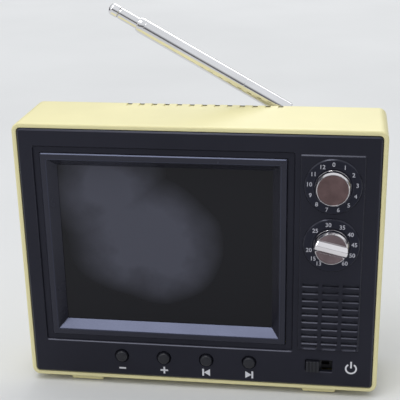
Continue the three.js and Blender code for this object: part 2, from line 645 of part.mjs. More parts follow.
// The outer tube, with the flat tongue that the fork holds and a rolled lip at its mouth.
function outerSection() {
  const { radius, bore, start, end } = SECTIONS[0];
  const tongueHalf = FORK.inner - 0.15;
  const tongue = join(
    box(0, start + 2, -2.7, 2.7, -tongueHalf, tongueHalf),
    pinRod(2.7, -tongueHalf, tongueHalf, 24),
  );
  const tube = alongX([[0, start], [radius - 0.4, start], [radius, start + 0.5], [radius, end - 1.2],
    [radius - 0.2, end - 0.5], [bore + 0.02, end], [bore, end - 0.3], [bore, start + 4.5], [0, start + 4.5]]);
  return cut(join(tongue, tube), pinRod(1.15, -5, 5));
}

// An inner tube with a small rolled lip at its mouth.
const innerTube = ({ radius, bore, start, end }) =>
  alongX([[bore, start], [radius, start], [radius, end - 0.8], [radius - 0.12, end - 0.2], [bore + 0.02, end],
    [bore, end - 0.3], [bore, start]]);

const innerRod = ({ radius, start, end }) => alongX([[0, start], [radius, start], [radius, end], [0, end]], 16);

const antennaTip = () => {
  const { radius, start, end } = TIP;
  const bore = SECTIONS[3].radius + PIN_GAP;
  return alongX([[bore, start], [radius - 0.2, start], [radius, start + 0.3], [radius, end - 1.6],
    [radius * 0.8, end - 0.6], [radius * 0.4, end - 0.1], [0, end], [0, SECTIONS[3].end + FIT_GAP],
    [bore, SECTIONS[3].end + FIT_GAP], [bore, start]]);
};

// ---------- assembly ----------
const m = MATERIALS;
piece("rear_housing", rearHousing(), m.caseYellow);
piece("front_fascia", frontFascia(), m.fasciaBlack);
screwPlaces.forEach(([x, z], i) => {
  piece(`case_screw_${i + 1}`, caseScrew(), m.steel).position.set(x, 0, z);
});
[-1, 1].forEach((side, i) =>
  FOOT_Y.forEach((y, k) => {
    const name = `foot_pad_${["front", "rear"][k]}_${["left", "right"][i]}`;
    piece(name, footPad(), m.rubber).position.set(side * FOOT.x, y, 0);
  }),
);

piece("screen_surround", screenSurround(), m.fasciaBlack);
piece("screen_lens", screenLens(), m.lens);
piece("lcd_cell", lcdCell(), m.lcd);
piece("lcd_backlight_tray", lcdTray(), m.steel);
piece("lcd_bracket_left", lcdBracket(LCD_POSTS[0][0]), m.steel);
piece("lcd_bracket_right", lcdBracket(LCD_POSTS[2][0]), m.steel);
piece("lcd_ribbon", lcdRibbon(), m.ribbon);

piece("speaker_cloth", speakerCloth(), m.cloth);
piece("speaker_basket", speakerBasket(), m.steel);
piece("speaker_cone", speakerCone(), m.paper);
piece("speaker_magnet", speakerMagnet(), m.magnet);

piece("main_board", mainBoard(), m.board);
piece("tuner_can", onBoard(-9, 99, 42, 30, 9), m.steel);
piece("video_chip", onBoard(-53, 84, 14, 14, 1.6), m.chip);
piece("battery_pack", batteryPack(), m.battery);
piece("charging_socket", chargingSocket(), m.steel);
piece("av_jack", avJack(), m.chip);
piece("button_board", buttonBoard(), m.board);
BUTTON_NAMES.forEach((name, i) => {
  piece(`tact_switch_${name}`, tactSwitch(), m.chip).position.set(buttonX(i), 0, BUTTON.z);
  piece(`button_${name}`, buttonCap(), m.buttonBlack).position.set(buttonX(i), 0, BUTTON.z);
});
piece("power_slider", powerSlider(), m.buttonBlack);
piece("power_switch", slideSwitch(), m.chip);

for (const [name, z, round, back] of [["channel", CHANNEL_Z, false, 16], ["tuning", TUNING_Z, true, 11]]) {
  const group = new THREE.Group();
  group.position.set(DIAL.x, 0, z);
  set.add(group);
  piece(`${name}_dial_plate`, dialPlate(), m.dial, group);
  piece(`${name}_nut`, bushingNut(), m.steel, group);
  piece(`${name}_shaft`, knobShaft(back - 1.8), m.steel, group);
  piece(round ? "tuning_potentiometer" : "channel_switch", rotaryBody(back, round), m.steel, group);
}
piece("channel_knob", knobBody(), m.chrome).position.set(DIAL.x, 0, CHANNEL_Z);
piece("channel_knob_disc", knobDisc(), m.spunDisc).position.set(DIAL.x, 0, CHANNEL_Z);
const tuningGroup = new THREE.Group();
tuningGroup.position.set(DIAL.x, 0, TUNING_Z);
tuningGroup.rotation.y = THREE.MathUtils.degToRad(GRIP.turn);
set.add(tuningGroup);
piece("tuning_knob", tuningKnob(), m.chrome, tuningGroup);
piece("tuning_disc_upper", halfDisc(1), m.spunDisc, tuningGroup);
piece("tuning_disc_lower", halfDisc(-1), m.spunDisc, tuningGroup);

const antenna = new THREE.Group();
antenna.position.set(ANTENNA.x, ANTENNA.y, ANTENNA.z);
antenna.rotation.y = Math.PI + THREE.MathUtils.degToRad(ANTENNA.elevation);
set.add(antenna);
piece("antenna_swivel", antennaSwivel(), m.chrome, antenna);
piece("antenna_swivel_screw", swivelScrew(), m.steel, antenna);
piece("antenna_pivot_pin", pivotPin(), m.chrome, antenna);
piece("antenna_section_1", outerSection(), m.chrome, antenna);
piece("antenna_section_2", innerTube(SECTIONS[1]), m.chrome, antenna);
piece("antenna_section_3", innerTube(SECTIONS[2]), m.chrome, antenna);
piece("antenna_section_4", innerRod(SECTIONS[3]), m.chrome, antenna);
piece("antenna_tip", antennaTip(), m.chrome, antenna);

export default set;
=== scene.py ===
"""Portable television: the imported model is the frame, and the pieces that show are remade finely on it."""
import json
import math

import bmesh
import bpy
from mathutils import Matrix, Vector


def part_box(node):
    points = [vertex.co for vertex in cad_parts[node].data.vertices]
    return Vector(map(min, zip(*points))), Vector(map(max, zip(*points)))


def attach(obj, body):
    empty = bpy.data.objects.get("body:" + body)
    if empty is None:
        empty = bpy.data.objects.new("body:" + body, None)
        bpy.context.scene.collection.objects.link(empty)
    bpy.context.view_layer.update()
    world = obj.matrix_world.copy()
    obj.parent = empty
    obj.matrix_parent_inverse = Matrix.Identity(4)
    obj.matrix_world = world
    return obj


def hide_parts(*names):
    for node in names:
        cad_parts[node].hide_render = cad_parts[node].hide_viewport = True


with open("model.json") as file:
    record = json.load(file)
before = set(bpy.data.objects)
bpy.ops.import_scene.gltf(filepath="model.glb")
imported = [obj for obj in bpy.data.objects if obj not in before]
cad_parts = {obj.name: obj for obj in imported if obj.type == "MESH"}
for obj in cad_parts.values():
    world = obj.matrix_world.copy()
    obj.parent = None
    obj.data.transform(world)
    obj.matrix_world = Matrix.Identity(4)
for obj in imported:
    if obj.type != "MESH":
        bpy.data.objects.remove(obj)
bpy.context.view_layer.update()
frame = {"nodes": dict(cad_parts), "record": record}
NODES = frame["nodes"]

# ---------- measurements ----------
# In millimetres, in the case's own frame: x = 0 in its middle, y = 0 at its front rim, z = 0 at its underside.
# TO_ROW takes that frame into the row's, which is in metres.
housing_low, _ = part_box("rear_housing")
FOOT_HEIGHT = 3
ORIGIN = Vector((0, housing_low.y, housing_low.z + FOOT_HEIGHT / 1000))
TO_ROW = Matrix.Translation(ORIGIN) @ Matrix.Scale(0.001, 4)

# The case, and where the layers of its face stand.
WIDTH, HEIGHT, DEPTH, WALL, CORNER = 190, 145, 48, 2.5, 4.5
FRONT = -0.6
PANEL_FRONT = FRONT - 0.7
DIAL_FRONT = PANEL_FRONT - 0.9
FASCIA_BACK = 2.2
PRINT = (FRONT - 0.05, FRONT + 0.02)  # the face and the foot of a printed mark
AHEAD, BEHIND = -5, 5  # where a cutter starts and ends, to go right through the fascia

# On the back and underside, as (x, y) for the feet and (x, z) for the rest.
FOOT_SPOTS = [(x, y) for x in (-64.2, 64.2) for y in (8.5, 39.5)]
SCREW_SPOTS = [(x, z) for x in (-86, 86) for z in (9, 137)]
PORT_RECESS, CHARGING_PORT, AUDIO_PORT = (66, 20), (58, 20), (74, 20)

# A top vent starts as a shallow scoop at VENT_SCOOP and is a through slot between its two VENT_WALLS.
VENT_COUNT, VENT_PITCH, VENT_MIDDLE, VENT_HALF_W = 13, 6.8, -1.5, 1.4
VENT_SCOOP, VENT_WALLS, VENT_FLOOR = 39.5, (44.2, 46.4), HEIGHT - 3.7
BACK_VENT_START, BACK_VENT_TOP, BACK_VENT_BOTTOM = 44.3, HEIGHT - 6, HEIGHT - 13
VENT_REACH = 46  # no vent is further from x = 0

# The screen's aperture, then the widths and depths of the steps round it.
SCREEN_X, SCREEN_Z, HALF_W, HALF_H = -17.6, 77.9, 56, 44.1
FUNNEL, FUNNEL_DEPTH, LAND, GROOVE, GROOVE_DEPTH = 4.15, 4.9, 3.45, 3.2, 1.2

# The control panel, and its grille's slots with the scoops under them. GRILLE_Z is the slots' middle.
PANEL_X, PANEL_Z, PANEL_HALF_W, PANEL_HALF_H = 68.45, 78.3, 16.25, 54.3
GRILLE_X, GRILLE_Z, GRILLE_COLUMN_PITCH = 69, 46.05, 10.4
GRILLE_ROWS, GRILLE_TOP_ROW, GRILLE_ROW_PITCH, SCOOP_Z = 9, 62.6, 4.14, 26.2

# The controls and their marks.
DIAL_X, CHANNEL_Z, TUNING_Z = 68.7, 116.4, 85
KNOB_FRONT, KNOB_BACK, DISC_RADIUS, GRIP_TURN = -7.0, -2.5, 7.72, math.radians(13)
NUMERAL_SIZE = 3.1
RING_PITCH, THREAD_PITCH = 0.35, 0.9  # of the spun discs and of the speaker cloth
BUTTON_X = [-43.2 + 23.27 * i for i in range(4)]
BUTTON_NAMES = ["minus", "plus", "previous", "next"]
BUTTON_Z = SLIDER_Z = 14.8
SYMBOL_Z = 7.2
SLIDER_X, SLIDER_WINDOW_X = 60.7, 64
POWER_X, POWER_Z = 81.1, 14.1

# The antenna's tilt pin, its rise above the horizontal, and the swivel's round base, as (radius, y).
ANTENNA = Vector((50, 53.8, 136.2))
ANTENNA_ANGLE = math.radians(29.6)
SWIVEL_BASE = [(0, 48.4), (5.0, 48.4), (5.4, 48.7), (5.4, 49.9), (5.3, 50.2), (5.0, 50.4), (0, 50.4)]

# Facets round a circle, and the angle from which an edge is drawn sharp.
FACETS = {"dial": 96, "button": 56, "swivel": 56, "tube": 48, "button_hole": 40, "hole": 32}
PIECE_SHARP, NODE_SHARP = math.radians(32), math.radians(30)


# ---------- mesh helpers ----------
def rounded(half_w, half_h, radius, x, z, steps=6):
    """Points of a rounded rectangle in X and Z."""
    r = max(radius, 0.02)
    points = []
    for k, (sx, sz) in enumerate(((1, -1), (1, 1), (-1, 1), (-1, -1))):
        for i in range(steps + 1):
            a = math.radians(-90 + 90 * k + 90 * i / steps)
            points.append((x + sx * (half_w - r) + r * math.cos(a), z + sz * (half_h - r) + r * math.sin(a)))
    return points


def loft(rings, closed=False):
    """A closed mesh through rings of points: capped at both ends, or joined last to first."""
    bm = bmesh.new()
    made = [[bm.verts.new(p) for p in ring] for ring in rings]
    pairs = list(zip(made, made[1:])) + ([(made[-1], made[0])] if closed else [])
    for a, b in pairs:
        for i in range(len(a)):
            j = (i + 1) % len(a)
            bm.faces.new((a[i], a[j], b[j], b[i]))
    if not closed:
        bm.faces.new(made[0])
        bm.faces.new(made[-1])
    bmesh.ops.recalc_face_normals(bm, faces=bm.faces)
    return bm


def slab(half_w, half_h, radius, stations, x, z, steps=6):
    """A loft of one rounded rectangle through stations of (y, inset)."""
    rings = []
    for y, inset in stations:
        outline = rounded(half_w - inset, half_h - inset, radius - inset, x, z, steps)
        rings.append([(px, y, pz) for px, pz in outline])
    return loft(rings)


def front_edge(y, r, steps):
    """Stations round a front edge, from the face at y into the side."""
    angles = [math.radians(90 * i / steps) for i in range(steps + 1)]
    return [(y + r * (1 - math.cos(a)), r * (1 - math.sin(a))) for a in angles]


def back_edge(y, r, steps):
    """Stations round a back edge, from the side to the face at y."""
    return [(2 * y - s, inset) for s, inset in reversed(front_edge(y, r, steps))]


def turned(profile, x, z, segments, closed=False):
    """A turned mesh round an axis along Y, from a profile of (radius, y)."""
    bm = bmesh.new()
    rings = []
    for radius, y in profile:
        if radius < 1e-6:
            rings.append([bm.verts.new((x, y, z))])
            continue
        angles = [2 * math.pi * i / segments for i in range(segments)]
        rings.append([bm.verts.new((x + radius * math.cos(a), y, z + radius * math.sin(a))) for a in angles])
    pairs = list(zip(rings, rings[1:])) + ([(rings[-1], rings[0])] if closed else [])
    for a, b in pairs:
        for i in range(segments):
            j = (i + 1) % segments
            corners = [a[i % len(a)], a[j % len(a)], b[j % len(b)], b[i % len(b)]]
            unique = list(dict.fromkeys(corners))
            if len(unique) > 2:
                bm.faces.new(unique)
    bmesh.ops.recalc_face_normals(bm, faces=bm.faces)
    return bm


def drum(radius, y0, y1, x, z, segments):
    """A plain cylinder along Y."""
    return turned([(0, y0), (radius, y0), (radius, y1), (0, y1)], x, z, segments)


def prism(points, y0, y1):
    """A polygon in X and Z pulled along Y."""
    return loft([[(x, y0, z) for x, z in points], [(x, y1, z) for x, z in points]])


def prism_along_x(points, x0, x1):
    """A polygon in Y and Z pulled along X."""
    return loft([[(x0, y, z) for y, z in points], [(x1, y, z) for y, z in points]])


def screen_ring(y, outside, radius):
    """The rounded rectangle that stands that far outside the screen's aperture, as a ring of points."""
    outline = rounded(HALF_W + outside, HALF_H + outside, radius, SCREEN_X, SCREEN_Z)
    return [(x, y, z) for x, z in outline]


def merged(*parts):
    """One bmesh that holds all of these."""
    out = bmesh.new()
    for bm in parts:
        mesh = bpy.data.meshes.new("part")
        bm.to_mesh(mesh)
        out.from_mesh(mesh)
        bpy.data.meshes.remove(mesh)
        bm.free()
    return out


def add_to_scene(name, data):
    """A new object in the scene that holds this data."""
    obj = bpy.data.objects.new(name, data)
    bpy.context.scene.collection.objects.link(obj)
    return obj


def mesh_object(name, bm):
    """A bmesh made into an object."""
    mesh = bpy.data.meshes.new(name)
    bm.to_mesh(mesh)
    bm.free()
    return add_to_scene(name, mesh)


def bake_modifiers(obj):
    """Applies an object's modifiers to its mesh."""
    graph = bpy.context.evaluated_depsgraph_get()
    mesh = bpy.data.meshes.new_from_object(obj.evaluated_get(graph))
    obj.modifiers.clear()
    obj.data = mesh


def boolean(obj, tool, operation="DIFFERENCE"):
    """Cuts, joins or intersects an object with a bmesh tool."""
    cutter = mesh_object("cutter", tool)
    mod = obj.modifiers.new("boolean", "BOOLEAN")
    mod.object, mod.operation, mod.solver = cutter, operation, "EXACT"
    bake_modifiers(obj)
    bpy.data.objects.remove(cutter)


def shade_smooth(mesh, sharp_angle):
    """Smooth shading, with edges sharp from that angle on."""
    mesh.polygons.foreach_set("use_smooth", [True] * len(mesh.polygons))
    mesh.set_sharp_from_angle(angle=sharp_angle)


def front_or_side(_centre, normal):
    """True for the faces that look forward or sideways."""
    return normal.y < -0.95 or abs(normal.x) > 0.4


def sloping(centre, normal):
    """True for the chamfers on the front."""
    return centre.y < 1 and -0.94 < normal.y < -0.3


def in_vent(centre, normal):
    """True for the end and side walls of the top slots, which get a darker yellow as painted shade."""
    deep = VENT_FLOOR - 0.1 < centre.z < HEIGHT - 0.05 and VENT_WALLS[0] - 0.05 < centre.y < VENT_WALLS[1] + 0.05
    return deep and abs(normal.z) < 0.2 and abs(centre.x) < VENT_REACH


def finished(obj, material, body, *replaced, slot=None, accent=None, where=sloping):
    """Moves a piece into the row's frame with its material and shading, and puts it on its body.

    The accent is a second material, for the faces that where() picks by their centre and normal.
    """
    obj.data.materials.clear()
    obj.data.materials.append(material)
    if accent:
        obj.data.materials.append(accent)
    for face in obj.data.polygons:
        face.material_index = int(bool(accent) and where(face.center, face.normal))
    obj.data.transform(TO_ROW)
    shade_smooth(obj.data, PIECE_SHARP)
    weighted = obj.modifiers.new("normals", "WEIGHTED_NORMAL")
    weighted.keep_sharp = True
    bake_modifiers(obj)
    if replaced:
        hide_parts(*replaced)
    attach(obj, body)


# ---------- material helpers ----------
def add_node(owner, kind, inputs=None, **settings):
    """A new shader node of a material or world. Each input, by name or number, is a socket to link or a value."""
    node = owner.node_tree.nodes.new(kind)
    for key, value in settings.items():
        setattr(node, key, value)
    for key, value in (inputs or {}).items():
        if isinstance(value, bpy.types.NodeSocket):
            owner.node_tree.links.new(value, node.inputs[key])
        else:
            node.inputs[key].default_value = value
    return node


def calculated(mat, operation, *values):
    """The result of a Math node over sockets and plain numbers."""
    return add_node(mat, "ShaderNodeMath", dict(enumerate(values)), operation=operation).outputs["Value"]


def vector_node(mat, operation, *values):
    """A Vector Math node over sockets and plain vectors."""
    return add_node(mat, "ShaderNodeVectorMath", dict(enumerate(values)), operation=operation)


def object_coordinates(mat):
    """The object's own coordinates, in metres."""
    return add_node(mat, "ShaderNodeTexCoord").outputs["Object"]


def principled(name, color, roughness, metallic=0.0, **inputs):
    """A new material with a Principled shader. Other inputs are named with _ for each space."""
    mat = bpy.data.materials.new(name)
    mat.use_nodes = True
    shader = mat.node_tree.nodes["Principled BSDF"]
    shader.inputs["Base Color"].default_value = (*color, 1)
    shader.inputs["Roughness"].default_value = roughness
    shader.inputs["Metallic"].default_value = metallic
    for key, value in inputs.items():
        shader.inputs[key.replace("_", " ")].default_value = value
    return mat, shader


def noise(mat, scale, detail=3.0, stretch=(1, 1, 1)):
    """A noise texture on the object's own coordinates."""
    mapping = add_node(mat, "ShaderNodeMapping", {"Vector": object_coordinates(mat), "Scale": stretch})
    texture = add_node(mat, "ShaderNodeTexNoise",
                       {"Vector": mapping.outputs["Vector"], "Scale": scale, "Detail": detail})
    return texture.outputs["Fac"]


def set_ramp(ramp, low, dark, high, light):
    """Sets a colour ramp's two stops."""
    first, last = ramp.color_ramp.elements
    first.position, first.color = low, (*dark, 1)
    last.position, last.color = high, (*light, 1)


def vary_color(mat, shader, source, dark, light, low=0.35, high=0.65):
    """Base colour from dark to light, as the source goes from low to high."""
    ramp = add_node(mat, "ShaderNodeValToRGB", {"Fac": source})
    set_ramp(ramp, low, dark, high, light)
    mat.node_tree.links.new(ramp.outputs["Color"], shader.inputs["Base Color"])


def vary_roughness(mat, shader, source, low, high):
    """Roughness from low to high, as the source goes from 0 to 1."""
    spread = add_node(mat, "ShaderNodeMapRange", {"Value": source, "To Min": low, "To Max": high})
    mat.node_tree.links.new(spread.outputs["Result"], shader.inputs["Roughness"])


def add_bump(mat, shader, source, height, strength):
    """Bump from a source that stands for a height in metres."""
    bump = add_node(mat, "ShaderNodeBump", {"Height": source, "Distance": height, "Strength": strength})
    mat.node_tree.links.new(bump.outputs["Normal"], shader.inputs["Normal"])


def scaled(color, k):
    """A darker or lighter color."""
    return tuple(min(1.0, c * k) for c in color)


def plastic(name, color, roughness, spread=0.05, grain=900, depth=2e-5, strength=0.3, **inputs):
    """Moulded plastic: faint cloudy colour, uneven gloss and a fine moulded grain."""
    mat, shader = principled(name, color, roughness, **inputs)
    vary_color(mat, shader, noise(mat, 22), scaled(color, 1 - spread), scaled(color, 1 + spread))
    vary_roughness(mat, shader, noise(mat, 60), roughness - 0.06, roughness + 0.08)
    add_bump(mat, shader, noise(mat, grain, 2), depth, strength)
    return mat


def metal(name, color, roughness, stretch=(1, 1, 1), marks=300):
    """Plated or brushed metal with faint marks, stretched along the way it was worked."""
    mat, shader = principled(name, color, roughness, 1.0)
    vary_color(mat, shader, noise(mat, 40), scaled(color, 0.94), scaled(color, 1.04))
    vary_roughness(mat, shader, noise(mat, marks, 3, stretch), roughness * 0.7, roughness * 1.4)
    add_bump(mat, shader, noise(mat, marks, 2, stretch), 5e-6, 0.15)
    return mat


def wave(mat, source, pitch):
    """A sine wave along a source in metres."""
    return calculated(mat, "SINE", calculated(mat, "MULTIPLY", source, 2 * math.pi / (pitch / 1000)))


def spun_metal(name, color, roughness, x, z):
    """A spun disc: fine rings round its own centre."""
    mat, shader = principled(name, color, roughness, 1.0)
    centre = ORIGIN + Vector((x, 0, z)) / 1000
    mapping = add_node(mat, "ShaderNodeMapping", {"Vector": object_coordinates(mat), "Location": -centre})
    flat = vector_node(mat, "MULTIPLY", mapping.outputs["Vector"], (1, 0, 1))
    radius = vector_node(mat, "LENGTH", flat.outputs["Vector"]).outputs["Value"]
    add_bump(mat, shader, wave(mat, radius, RING_PITCH), 1e-5, 0.25)
    vary_color(mat, shader, noise(mat, 160), scaled(color, 0.82), scaled(color, 1.12))
    return mat


def woven(name, color, pitch):
    """A plain weave in X and Z, as bump and as darker gaps between the threads."""
    mat, shader = principled(name, color, 0.9)
    axes = add_node(mat, "ShaderNodeSeparateXYZ", {"Vector": object_coordinates(mat)})
    weave = calculated(mat, "MULTIPLY", wave(mat, axes.outputs["X"], pitch), wave(mat, axes.outputs["Z"], pitch))
    add_bump(mat, shader, weave, 0.00015, 0.8)
    vary_color(mat, shader, weave, scaled(color, 0.7), scaled(color, 1.25), 0.0, 0.6)
    return mat


def soft_blob(mat, place, x, z, radius_x, radius_z):
    """A soft oval patch round one point of the front: 1 in its middle and 0 at its rim."""
    centre = ORIGIN + Vector((x, 0, z)) / 1000
    mapping = add_node(mat, "ShaderNodeMapping", {
        "Vector": place,
        "Scale": (1000 / radius_x, 0, 1000 / radius_z),
        "Location": (-centre.x * 1000 / radius_x, 0, -centre.z * 1000 / radius_z),
    })
    blob = add_node(mat, "ShaderNodeTexGradient", {"Vector": mapping.outputs["Vector"]}, gradient_type="SPHERICAL")
    return blob.outputs["Fac"]


def make_glass():
    """The dark front window, with a painted reflection: a soft cloudy light patch left of its middle, in its base
    colour.
    """
    mat, shader = principled("screen_window", (0.008, 0.008, 0.012), 0.1, IOR=1.33)
    # The painted reflection is two oval patches that overlap, and a coarse noise bends their edges.
    coords = object_coordinates(mat)
    ripple = add_node(mat, "ShaderNodeTexNoise", {"Vector": coords, "Scale": 22, "Detail": 1})
    place = vector_node(mat, "MULTIPLY_ADD", ripple.outputs["Color"], (0.024, 0, 0.024), coords).outputs["Vector"]
    main = soft_blob(mat, place, -17, 94, 43, 35)
    upper = soft_blob(mat, place, -34, 118, 30, 46)
    cloud = calculated(mat, "MAXIMUM", main, calculated(mat, "MULTIPLY", upper, 0.8))
    grain = calculated(mat, "MULTIPLY_ADD", noise(mat, 70, 4), 1.1, 0.42)
    painted_reflection = calculated(mat, "MULTIPLY", cloud, grain)
    # Base colour goes from near black to a lighter blue grey inside the patch: painted reflection.
    vary_color(mat, shader, painted_reflection, (0.005, 0.005, 0.008), (0.068, 0.07, 0.095), 0.02, 0.5)
    vary_roughness(mat, shader, noise(mat, 30, 5), 0.06, 0.22)
    return mat


# ---------- materials ----------
DARK = (0.0125, 0.0125, 0.0185)
LAVENDER, BLUISH = (0.78, 0.8, 1.0, 1), (0.62, 0.68, 1.0, 1)

yellow = plastic("cream_plastic", (0.8, 0.735, 0.4), 0.36, 0.03, grain=1400, depth=1e-5, strength=0.2)
# A darker yellow for the walls inside the top vents: painted shade, standing for the shadow in the slots.
vent_painted_shade = plastic("vent_painted_shade", (0.27, 0.245, 0.14), 0.8, 0.1, grain=1400, depth=1e-5, strength=0.2,
                     Specular_IOR_Level=0.1)
black = plastic("fascia_plastic", DARK, 0.4, 0.12, grain=1600, depth=1.2e-5, strength=0.3,
                Specular_IOR_Level=0.28, Specular_Tint=LAVENDER)
trim = plastic("surround_plastic", DARK, 0.2, 0.1, grain=1600, depth=6e-6, strength=0.2,
               Specular_IOR_Level=0.8, Specular_Tint=BLUISH)
edge_black = plastic("polished_edge", DARK, 0.24, 0.1, grain=1600, depth=4e-6, strength=0.2,
                     Specular_IOR_Level=0.5, Specular_Tint=LAVENDER)
button_black = plastic("button_plastic", (0.013, 0.0135, 0.019), 0.34, 0.1, Specular_IOR_Level=0.4)
dial_black = plastic("dial_plastic", (0.01, 0.0105, 0.018), 0.36, 0.1, Specular_IOR_Level=0.28,
                     Specular_Tint=LAVENDER)
rubber = plastic("rubber", (0.02, 0.019, 0.017), 0.8, 0.15, grain=700, depth=4e-5)
print_white = plastic("white_print", (0.66, 0.66, 0.7), 0.55, 0.08, grain=2500, depth=4e-6, strength=0.2)
print_grey = plastic("dial_print", (0.52, 0.52, 0.58), 0.55, 0.12, grain=2500, depth=4e-6, strength=0.2)
chrome = metal("chrome", (0.76, 0.73, 0.75), 0.09)
tube_chrome = metal("antenna_chrome", (0.8, 0.79, 0.8), 0.1, stretch=(0.3, 0.3, 1), marks=260)
disc_channel = spun_metal("spun_disc_channel", (0.15, 0.1, 0.1), 0.36, DIAL_X, CHANNEL_Z)
disc_tuning = spun_metal("spun_disc_tuning", (0.19, 0.145, 0.155), 0.34, DIAL_X, TUNING_Z)
steel = metal("plated_steel", (0.55, 0.55, 0.56), 0.35, stretch=(1, 1, 0.1), marks=500)
board = plastic("circuit_board", (0.02, 0.12, 0.05), 0.5, 0.2)
chip = plastic("black_component", (0.012, 0.012, 0.014), 0.5, 0.15)
paper = plastic("pressed_paper", (0.03, 0.03, 0.032), 0.9, 0.2, grain=500, depth=6e-5)
magnet = metal("ferrite_magnet", (0.2, 0.2, 0.22), 0.5)
battery = plastic("shrink_wrap", (0.06, 0.16, 0.38), 0.35, 0.08)
ribbon = plastic("flat_cable", (0.55, 0.42, 0.22), 0.5, 0.06)
lcd = plastic("lcd_cell", (0.012, 0.013, 0.018), 0.2, 0.2)
lens = make_glass()
cloth = woven("speaker_cloth", (0.05, 0.052, 0.075), THREAD_PITCH)

BY_SLOT = {
    "case_yellow": yellow, "fascia_black": black, "button_black": button_black, "lens": lens, "lcd": lcd,
    "chrome": chrome, "spun_disc": disc_channel, "steel": steel, "board": board, "chip": chip,
    "dial": dial_black, "cone": paper, "magnet": magnet, "rubber": rubber, "battery": battery,
    "ribbon": ribbon, "cloth": cloth,
}
for part in frame["record"]["subparts"]:
    mesh = NODES[part["node"]].data
    mesh.materials.clear()
    mesh.materials.append(BY_SLOT[part["material_slot"]])
    shade_smooth(mesh, NODE_SHARP)


# ---------- casing ----------
def vent_cutters():
    """Scooped slots in the top near the back edge, with a second row below them in the back."""
    start, end = VENT_WALLS
    top = [(VENT_SCOOP, HEIGHT + 1), (VENT_SCOOP, HEIGHT - 0.02), (VENT_SCOOP + 2, HEIGHT - 0.4),
           (start, HEIGHT - 0.6), (start, VENT_FLOOR), (end, VENT_FLOOR), (end, HEIGHT + 1)]
    back = [(BACK_VENT_START, BACK_VENT_TOP), (DEPTH + 1, BACK_VENT_TOP),
            (DEPTH + 1, BACK_VENT_BOTTOM), (BACK_VENT_START, BACK_VENT_BOTTOM)]
    slots = []
    for i in range(VENT_COUNT):
        x = (i - VENT_COUNT // 2) * VENT_PITCH + VENT_MIDDLE
        slots += [prism_along_x(outline, x - VENT_HALF_W, x + VENT_HALF_W) for outline in (top, back)]
    return merged(*slots)


def make_housing():
    """The cup-shaped case: feet with pockets for their pads, vents, screw holes and the port recess."""
    inner = [(DEPTH - WALL, WALL), (0.5, WALL), (0.15, WALL - 0.15), (0, WALL - 0.5)]
    outer = [*front_edge(0, 1.0, 5), (6, 0), (24, 0), (40, 0), *back_edge(DEPTH, 3.5, 7)]
    shell = mesh_object("housing", slab(WIDTH / 2, HEIGHT / 2, CORNER, inner + outer, 0, HEIGHT / 2, 8))
    feet = [slab(9.1, 2.5, 1.3, [*front_edge(y - 6, 0.8, 3), *back_edge(y + 6, 0.8, 3)], x, -0.5, 5)
            for x, y in FOOT_SPOTS]
    boolean(shell, merged(*feet), "UNION")
    pockets = [slab(7.3, 1, 0.3, [(y - 4.3, 0), (y + 4.3, 0)], x, -3.6, 2) for x, y in FOOT_SPOTS]
    boolean(shell, merged(*pockets))
    boolean(shell, vent_cutters())
    screw_hole = [(0, 44.5), (3.1, 44.5), (3.1, DEPTH - 0.3), (3.6, DEPTH + 0.2), (3.6, DEPTH + 1), (0, DEPTH + 1)]
    holes = [turned(screw_hole, x, z, FACETS["hole"]) for x, z in SCREW_SPOTS]
    holes.append(slab(18, 8, 2, [(DEPTH - 1, 0.4), (DEPTH - 0.6, 0), (DEPTH + 1, 0)], *PORT_RECESS))
    boolean(shell, merged(*holes))
    ports = [slab(4.8, 1.9, 1.7, [(44, 0), (DEPTH, 0)], *CHARGING_PORT),
             drum(3.2, 44, DEPTH, *AUDIO_PORT, FACETS["hole"])]
    boolean(shell, merged(*ports))
    # The walls inside the top vents take the darker yellow as painted shade.
    finished(shell, yellow, "set", "rear_housing", slot="case_yellow", accent=vent_painted_shade, where=in_vent)


def grille_cutters():
    """Rows of slots in three columns, each with a sloping lower lip, and a scoop under each column."""
    cutters = []
    for column in (-1, 0, 1):
        x = GRILLE_X + GRILLE_COLUMN_PITCH * column
        for row in range(GRILLE_ROWS):
            z = GRILLE_TOP_ROW - GRILLE_ROW_PITCH * row
            outline = [(AHEAD, z + 0.95), (AHEAD, z - 1.55), (PANEL_FRONT, z - 1.55),
                       (PANEL_FRONT + 0.75, z - 0.95), (0.6, z - 0.95), (0.6, z + 0.95)]
            cutters.append(prism_along_x(outline, x - 4.15, x + 4.15))
        bowl = [(PANEL_FRONT - 1, 0), (PANEL_FRONT, 0), (PANEL_FRONT + 0.7, 0.7)]
        cutters.append(slab(4.1, 1.35, 1.3, bowl, x, SCOOP_Z, 8))
    return merged(*cutters)


